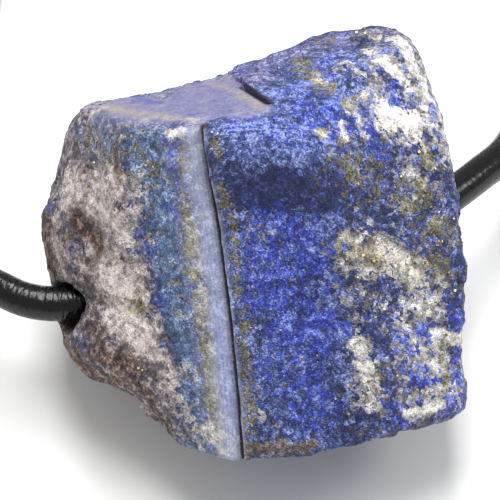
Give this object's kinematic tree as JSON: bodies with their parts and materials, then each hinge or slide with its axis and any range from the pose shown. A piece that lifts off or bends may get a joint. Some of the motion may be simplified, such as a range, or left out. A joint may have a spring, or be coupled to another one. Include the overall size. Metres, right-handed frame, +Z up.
{
  "type": "rough drilled lapis lazuli stone on a leather cord",
  "caption": "Rough, partly sawn lump of blue lapis lazuli with white calcite and gold pyrite, drilled through and strung on a round black leather cord.",
  "frame": {"origin": "middle of the stone's bounding box seen from above, on the surface that it rests on", "axes": "+Z up; +X to the right as the sawn front is seen, roughly along the drilled hole; -Y out of the front, so the coil lies towards +Y"},
  "size_m": [0.0348, 0.0652, 0.0213],
  "materials": {
    "lapis": "rough broken lapis lazuli, with dusty sawn faces",
    "leather": "smooth glossy black cord, finely cracked"
  },
  "bodies": {
    "root": {"stone": "lapis", "cord": "leather", "cord_coil": "leather"}
  },
  "joints": []
}
